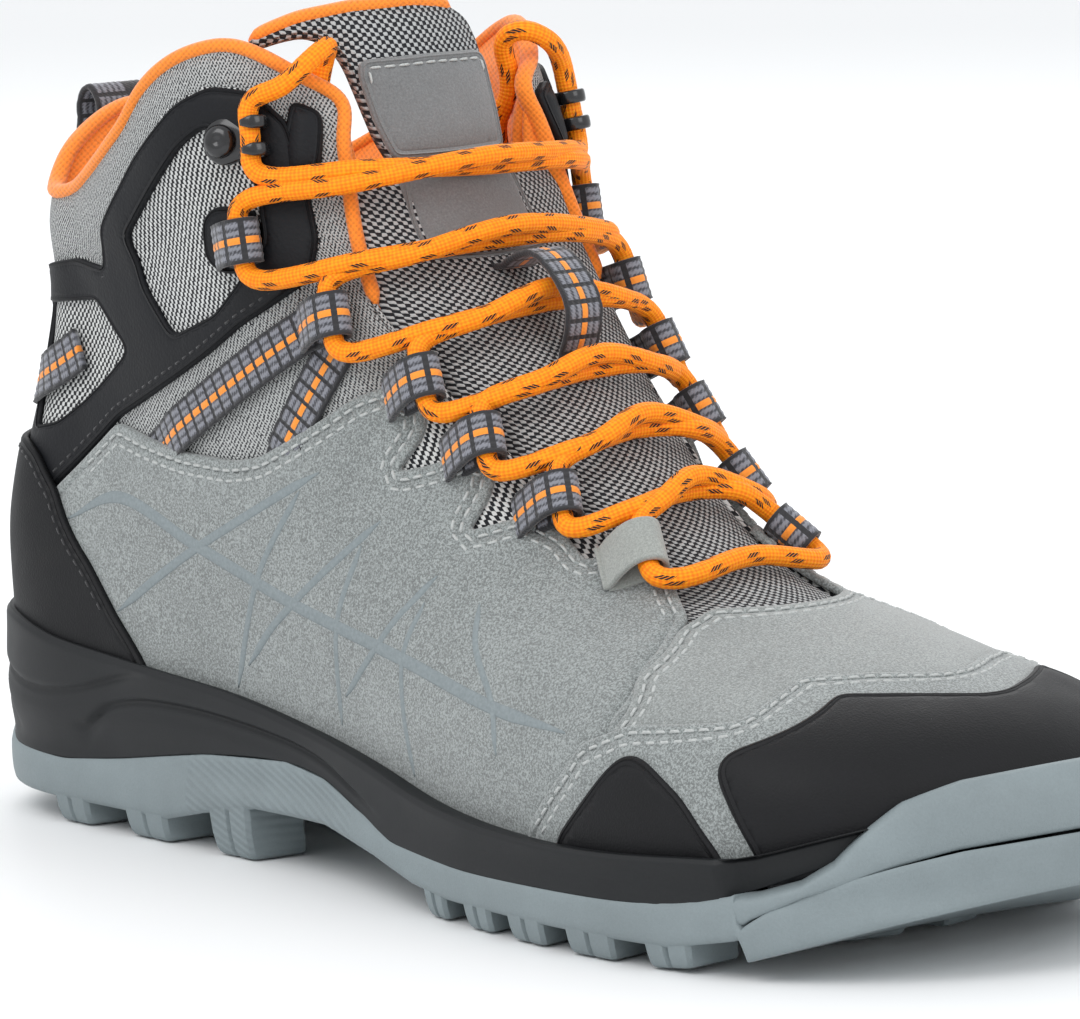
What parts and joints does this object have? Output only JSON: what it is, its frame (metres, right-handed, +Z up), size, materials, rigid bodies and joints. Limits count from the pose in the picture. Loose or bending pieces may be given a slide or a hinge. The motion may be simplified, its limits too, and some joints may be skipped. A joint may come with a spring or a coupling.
{
  "type": "lace-up hiking boot",
  "caption": "Mid-height right hiking boot: suede and mesh upper on a lugged rubber sole, laced through webbing loops and hooks, with a padded collar, folding tongue and heel pull tab.",
  "frame": {"origin": "on the ground plane, under the middle of the boot's bounding box", "axes": "+X to the toe, +Y to the inner side of the ankle, +Z up from the ground"},
  "size_m": [0.2982, 0.1106, 0.171],
  "materials": {
    "sole_rubber": "moulded rubber, finely ribbed on the arch and lightly dusty",
    "midsole_foam": "moulded foam with a satin skin, sculpted with long curved grooves",
    "shank_steel": "rolled spring steel, brushed",
    "board": "pressed fibre board",
    "footbed_foam": "moulded foam under a knitted top cover",
    "lining_textile": "brushed lining cloth",
    "collar_foam": "soft open foam",
    "collar_mesh": "padded open mesh",
    "orange_trim": "bright woven binding",
    "upper_textile": "two-tone woven mesh, pale and dark threads",
    "grey_suede": "brushed split leather, stitched in pale thread",
    "black_overlay": "pebbled moulded overlay with a low sheen",
    "webbing": "ribbed tape with dark cross threads and a bright centre line",
    "hook_metal": "glossy black enamel",
    "rivet_steel": "glossy black enamel over steel",
    "lace_cord": "round braided cord, orange with paired dark flecks",
    "lace_tips": "clear-coated dark plastic sleeve"
  },
  "bodies": {
    "boot": {"outsole": "sole_rubber", "toe_bumper": "sole_rubber", "midsole": "midsole_foam", "shank": "shank_steel", "insole_board": "board", "footbed": "footbed_foam", "foot_lining": "lining_textile", "heel_stiffener": "board", "toe_puff": "board", "collar_padding": "collar_foam", "collar_lining": "collar_mesh", "collar_binding": "orange_trim", "quarter_textile_lateral": "upper_textile", "quarter_textile_medial": "upper_textile", "suede_quarter_lateral": "grey_suede", "suede_quarter_medial": "grey_suede", "side_guard_lateral": "black_overlay", "side_guard_medial": "black_overlay", "ankle_frame_lateral": "black_overlay", "ankle_frame_medial": "black_overlay", "ankle_strap_lateral": "webbing", "ankle_strap_medial": "webbing", "vamp_suede": "grey_suede", "toe_rand": "grey_suede", "toe_cap": "black_overlay", "heel_counter": "black_overlay", "heel_webbing": "webbing", "tongue_lower": "upper_textile", "tongue_keeper": "webbing", "lace_loop_lateral_1": "grey_suede", "lace_loop_lateral_2": "webbing", "lace_loop_lateral_3": "webbing", "lace_loop_lateral_4": "webbing", "lace_loop_lateral_5": "webbing", "lace_loop_lateral_6": "webbing", "lace_loop_medial_1": "webbing", "lace_loop_medial_2": "webbing", "lace_loop_medial_3": "webbing", "lace_loop_medial_4": "webbing", "lace_loop_medial_5": "webbing", "lace_loop_medial_6": "webbing", "lace_hook_lateral": "hook_metal", "lace_hook_medial": "hook_metal", "hook_rivet_lateral": "rivet_steel", "hook_rivet_medial": "rivet_steel", "lace": "lace_cord", "lace_tip_lateral": "lace_tips", "lace_tip_medial": "lace_tips"},
    "tongue_flap": {"tongue_top": "upper_textile", "tongue_patch": "grey_suede", "tongue_lining": "orange_trim"},
    "pull_tab": {"pull_loop": "webbing"}
  },
  "joints": [
    {"name": "tongue_tilt", "type": "hinge", "parent": "boot", "child": "tongue_flap", "pos_m": [-0.023, 0, 0.138], "axis": [0, 1, 0], "range_deg": [-6, 35], "stiffness_Nm_per_rad": 0.2},
    {"name": "pull_tab_fold", "type": "hinge", "parent": "boot", "child": "pull_tab", "pos_m": [-0.1324, 0, 0.131], "axis": [0, -1, 0], "range_deg": [0, 80], "stiffness_Nm_per_rad": 0.02}
  ]
}
